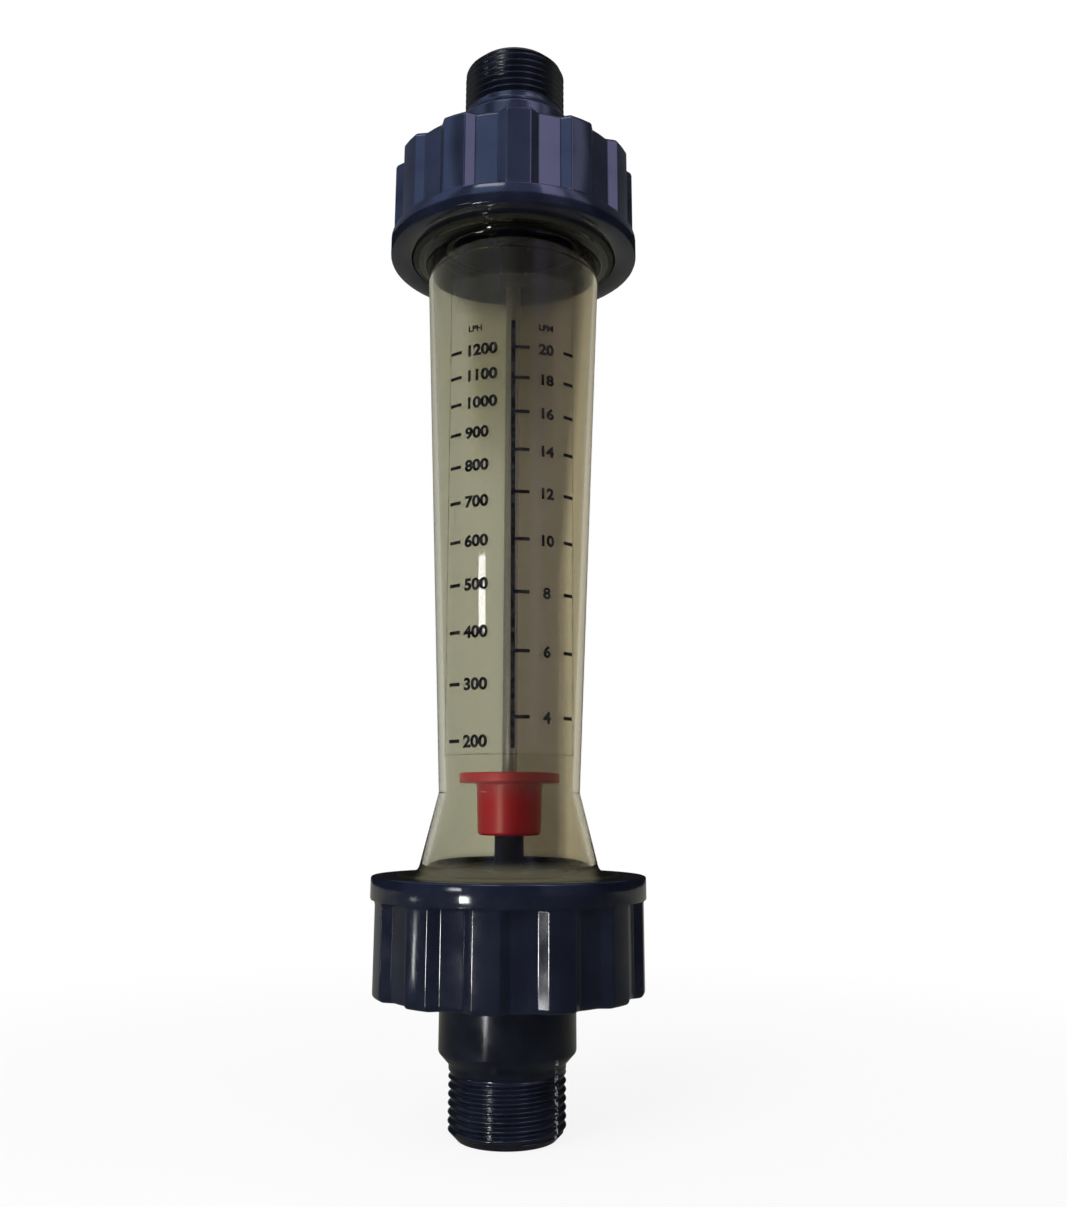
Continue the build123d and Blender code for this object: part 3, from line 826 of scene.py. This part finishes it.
def connector_rows():
    """Rows of a connector from its end face inwards, round the flange and back down the bore."""
    rows = []
    for ring, height in thread_rows(connector_angles, pipe_radius, pipe_depth, pipe_pitch,
                                    0.0, pipe_thread_end, 0.0, pipe_run_out):
        cone = pipe_radius - end_chamfer + height
        rows.append(([min(radius, cone) for radius in ring], height))
    groove_outside = o_ring_radius + groove_half_width
    groove_inside = o_ring_radius - groove_half_width
    groove_floor = tube_start - groove_depth
    rows += rounded([
        (pipe_radius, pipe_thread_end, 0),
        (pipe_radius, neck_end, 1.0),
        (collar_radius, collar_foot, 1.6),
        (collar_radius, flange_foot, 0.4),
        (connector_flange, flange_foot, 0.5),
        (connector_flange, tube_start, 0.5),
        (groove_outside, tube_start, 0.2),
        (groove_outside, groove_floor, 0.2),
        (groove_inside, groove_floor, 0.2),
        (groove_inside, tube_start, 0.2),
        (flow_bore, tube_start, 0.6),
        (flow_bore, 0, 0.6),
    ])
    return rows


# Navy ABS, moulded and glossy, faintly mottled. The flash has scuffed pale.
flash_across, flash_half_width, flash_pale = 13.7, 0.45, "#9a9aa2"
nick_size, nick_from = 1.1, 0.52
navy_connector, tree, shader = moulded_plastic(
    "navy_abs_connector", "#0d0f17", "#12151f", 9.0, (0.12, 0.22))
place = add_node(tree, "ShaderNodeTexCoord")
across = add_node(tree, "ShaderNodeSeparateXYZ", {}, {0: place.outputs["Object"]})
from_line = add_node(tree, "ShaderNodeMath", {"operation": "SUBTRACT", 1: flash_across * MM},
                     {0: across.outputs["X"]})
off_line = add_node(tree, "ShaderNodeMath", {"operation": "ABSOLUTE"}, {0: from_line.outputs[0]})
on_line = add_node(tree, "ShaderNodeMath", {"operation": "LESS_THAN", 1: flash_half_width * MM},
                   {0: off_line.outputs[0]})
low = add_node(tree, "ShaderNodeMath", {"operation": "LESS_THAN", 1: collar_foot * MM},
               {0: across.outputs["Z"]})
nicks = add_node(tree, "ShaderNodeTexNoise", {"Scale": 1 / (nick_size * MM), "Detail": 2.0},
                 {"Vector": place.outputs["Object"]})
nicked = add_node(tree, "ShaderNodeMath", {"operation": "GREATER_THAN", 1: nick_from},
                  {0: nicks.outputs[0]})
low_line = add_node(tree, "ShaderNodeMath", {"operation": "MULTIPLY"},
                    {0: on_line.outputs[0], 1: low.outputs[0]})
flash = add_node(tree, "ShaderNodeMath", {"operation": "MULTIPLY"},
                 {0: low_line.outputs[0], 1: nicked.outputs[0]})
plain_tone = shader.inputs["Base Color"].links[0].from_socket
flashed = add_node(tree, "ShaderNodeMix", {"data_type": "RGBA", 7: linear(flash_pale)},
                   {0: flash.outputs[0], 6: plain_tone})
tree.links.new(flashed.outputs[2], shader.inputs["Base Color"])
for end in ("inlet", "outlet"):
    connector = turned(f"{end}_pipe_end", connector_rows(), connector_angles,
                       flipped=end == "outlet", sharp_from=50)
    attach(connector, f"{end}_end")
    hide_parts(f"{end}_connector")
    connector.data.materials.append(navy_connector)

# O-rings: black nitrile rubber, moulded, in the face groove of each connector's flange. They keep
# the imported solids, and look matt.
nitrile = moulded_plastic("black_nitrile_ring", "#101010", "#19191a", 2.0, (0.5, 0.65))[0]
for end in ("inlet", "outlet"):
    dress(f"{end}_o_ring", nitrile)

# Union nuts: moulded in glossy dark navy plastic, twelve broad ribs under a plain band, open at
# the threaded mouth. Each was tightened to its own angle.
nut_start, nut_mouth = 38.0, 70.6
band_radius, band_start = 40.0, 64.0
crest_radius, root_radius = 39.2, 36.9
rib_count, crest_half_angle, slope_angle = 12, 5.5, 4.0
crest_rounding, root_rounding, end_rounding = 0.9, 1.2, 1.6
nut_bore, nut_hole, relief_radius = 33.15, 20.0, 33.9
hole_edge, end_face_radius, end_steps = 0.6, 30.0, 8
nut_thread_depth, nut_thread_fade = 1.2, 1.0
rib_turn = {"inlet": -7.5, "outlet": -3.0}


def rib_outline(turn):
    """Angles and radii right round the ribbed grip, one rib after another."""
    corners = []
    for rib in range(rib_count):
        middle_angle = turn + 360 / rib_count * rib
        for offset, radius, rounding in (
                (-crest_half_angle, crest_radius, crest_rounding), (0, crest_radius, 0),
                (crest_half_angle, crest_radius, crest_rounding),
                (crest_half_angle + slope_angle, root_radius, root_rounding),
                (180 / rib_count, root_radius, 0),
                (360 / rib_count - crest_half_angle - slope_angle, root_radius, root_rounding)):
            angle = radians(middle_angle + offset)
            corners.append((radius * cos(angle), radius * sin(angle), rounding))
    outline = rounded(corners, steps=5)
    return [atan2(y, x) for x, y in outline], [hypot(x, y) for x, y in outline]


def nut_rows(angles, ribs):
    """Rows of a nut from its hole over the end face, down the ribs and band and back up the bore."""
    rows = [(nut_hole + hole_edge, nut_start), (end_face_radius, nut_start)]
    for step in range(end_steps + 1):
        sweep = pi / 2 * step / end_steps
        drop = end_rounding * (1 - sin(sweep))
        height = nut_start + end_rounding * (1 - cos(sweep))
        rows.append(([radius - drop for radius in ribs], height))
    # The ribs swell a little where they run into the band.
    rows += [
        (ribs, nut_start + 12.0),
        (ribs, band_start - 0.8),
        ([radius + 0.1 for radius in ribs], band_start - 0.35),
        ([min(radius + 0.45, band_radius - 0.6) for radius in ribs], band_start),
        (band_radius - 0.5, band_start),
        (band_radius - 0.15, band_start + 0.15),
        (band_radius, band_start + 0.5),
        (band_radius, nut_mouth - 0.6),
        (band_radius - 0.18, nut_mouth - 0.18),
        (band_radius - 0.6, nut_mouth),
        (nut_bore + 0.3, nut_mouth),
        (nut_bore, nut_mouth - 0.3),
    ]
    inner = thread_rows(angles, nut_bore, -nut_thread_depth, union_pitch, nut_mouth - 1.0,
                        tube_start + 1.5, nut_thread_fade, nut_thread_fade)
    rows += inner[1:]
    # Past the thread, a relief leaves room for the flange, which the end wall pulls up.
    rows += [
        (relief_radius, tube_start + 1.2),
        (relief_radius, tube_start - 1.0),
        (nut_bore, tube_start - 1.3),
        (nut_bore, flange_foot + 0.6),
        (nut_bore - 0.6, flange_foot),
        (nut_hole, flange_foot),
        (nut_hole, nut_start + hole_edge),
    ]
    return rows


# Navy ABS, moulded with a high gloss: its ribs mirror the panes above and the soft boxes.
navy_nut = moulded_plastic("navy_abs_nut", "#0f121d", "#151925", 12.0, (0.09, 0.17))[0]
for end in ("inlet", "outlet"):
    rib_angles, rib_radii = rib_outline(rib_turn[end])
    nut = turned(f"{end}_ribbed_nut", nut_rows(rib_angles, rib_radii), rib_angles,
                 flipped=end == "outlet", sharp_from=50)
    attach(nut, f"{end}_nut")
    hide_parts(f"{end}_union_nut")
    nut.data.materials.append(navy_nut)
